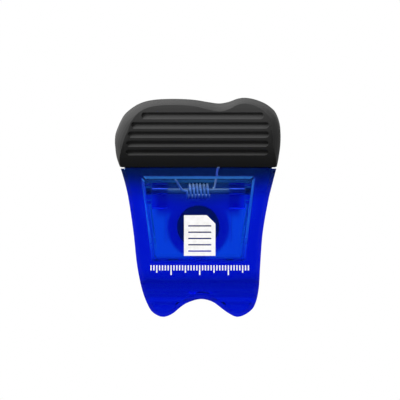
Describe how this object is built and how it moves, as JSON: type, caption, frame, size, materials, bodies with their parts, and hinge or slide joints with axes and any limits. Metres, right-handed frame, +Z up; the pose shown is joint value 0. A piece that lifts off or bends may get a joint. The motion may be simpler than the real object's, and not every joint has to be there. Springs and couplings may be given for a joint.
{
  "type": "magnetic memo clip",
  "caption": "Spring-loaded tooth-shaped paper clip with clear blue jaws, ribbed black grips and a magnet on its back.",
  "frame": {"origin": "middle of the magnet's back face, which lies on the board", "axes": "+Z up along the clip towards the grips, -Y out of the board towards the viewer, +X to the viewer's right"},
  "size_m": [0.0578, 0.0259, 0.0765],
  "materials": {
    "clear_blue": "polished, see-through",
    "soft_black": "satin",
    "steel": "bright",
    "ferrite": "ground"
  },
  "bodies": {
    "rear": {"rear_jaw": "clear_blue", "rear_grip": "soft_black", "hinge_pin": "steel", "torsion_spring": "steel", "magnet": "ferrite"},
    "front": {"front_jaw": "clear_blue", "front_grip": "soft_black"}
  },
  "joints": [
    {"name": "jaw_hinge", "type": "hinge", "parent": "rear", "child": "front", "pos_m": [0, -0.0075, 0.0125], "axis": [-1, 0, 0], "range_deg": [0, 24], "stiffness_Nm_per_rad": 0.25, "springref_deg": -34.38, "deforming": ["torsion_spring"]}
  ]
}
